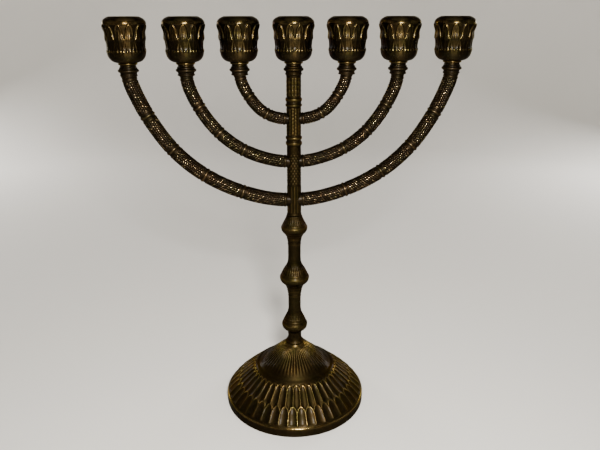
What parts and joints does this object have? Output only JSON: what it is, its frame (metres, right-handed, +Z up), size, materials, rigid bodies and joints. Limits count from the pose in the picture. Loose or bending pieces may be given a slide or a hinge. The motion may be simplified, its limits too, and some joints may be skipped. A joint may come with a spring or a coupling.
{
  "type": "seven-branch candelabrum",
  "caption": "Brass candelabrum with a domed round base, a knopped stem and curved paired arms that hold a row of screw-on candle cups at one height.",
  "frame": {"origin": "centre of the base rim's underside, on the surface the candelabrum stands on", "axes": "+Z up along the stem, +X along the row of cups, +Y to the back"},
  "size_m": [0.2526, 0.1124, 0.3],
  "materials": {
    "base_brass": "antiqued cast brass, dark in the recesses and rubbed bright on the raised petals and rim",
    "stem_brass": "antiqued cast brass, dark patina with rubbed ribs and rings",
    "arm_brass": "antiqued cast brass, dark patina with rubbed high points",
    "cup_brass": "antiqued cast brass, polished rolled lip and dark relief ground",
    "fastener_steel": "dull plated steel"
  },
  "bodies": {
    "base": {"base_shell": "base_brass", "base_washer": "fastener_steel"},
    "tree": {"base_nut": "fastener_steel", "tie_rod": "fastener_steel", "stem_lower": "stem_brass", "stem_middle": "stem_brass", "stem_upper": "stem_brass", "branch_column": "stem_brass", "arm_outer_left": "arm_brass", "arm_outer_right": "arm_brass", "arm_middle_left": "arm_brass", "arm_middle_right": "arm_brass", "arm_inner_left": "arm_brass", "arm_inner_right": "arm_brass", "stud_outer_left": "fastener_steel", "stud_middle_left": "fastener_steel", "stud_inner_left": "fastener_steel", "stud_centre": "fastener_steel", "stud_inner_right": "fastener_steel", "stud_middle_right": "fastener_steel", "stud_outer_right": "fastener_steel"},
    "cup_1": {"cup_outer_left": "cup_brass"},
    "cup_2": {"cup_middle_left": "cup_brass"},
    "cup_3": {"cup_inner_left": "cup_brass"},
    "cup_4": {"cup_centre": "cup_brass"},
    "cup_5": {"cup_inner_right": "cup_brass"},
    "cup_6": {"cup_middle_right": "cup_brass"},
    "cup_7": {"cup_outer_right": "cup_brass"}
  },
  "joints": [
    {"name": "tree_swivel", "type": "hinge", "parent": "base", "child": "tree", "pos_m": [0, 0, 0.0508], "axis": [0, 0, 1], "continuous": true},
    {"name": "cup_1_turn", "type": "hinge", "parent": "tree", "child": "cup_1", "pos_m": [-0.1122, 0, 0.2676], "axis": [0, 0, 1], "continuous": true},
    {"name": "cup_2_turn", "type": "hinge", "parent": "tree", "child": "cup_2", "pos_m": [-0.0736, 0, 0.2676], "axis": [0, 0, 1], "continuous": true},
    {"name": "cup_3_turn", "type": "hinge", "parent": "tree", "child": "cup_3", "pos_m": [-0.0372, 0, 0.2676], "axis": [0, 0, 1], "continuous": true},
    {"name": "cup_4_turn", "type": "hinge", "parent": "tree", "child": "cup_4", "pos_m": [0, 0, 0.2676], "axis": [0, 0, 1], "continuous": true},
    {"name": "cup_5_turn", "type": "hinge", "parent": "tree", "child": "cup_5", "pos_m": [0.0372, 0, 0.2676], "axis": [0, 0, 1], "continuous": true},
    {"name": "cup_6_turn", "type": "hinge", "parent": "tree", "child": "cup_6", "pos_m": [0.0736, 0, 0.2676], "axis": [0, 0, 1], "continuous": true},
    {"name": "cup_7_turn", "type": "hinge", "parent": "tree", "child": "cup_7", "pos_m": [0.1122, 0, 0.2676], "axis": [0, 0, 1], "continuous": true}
  ]
}
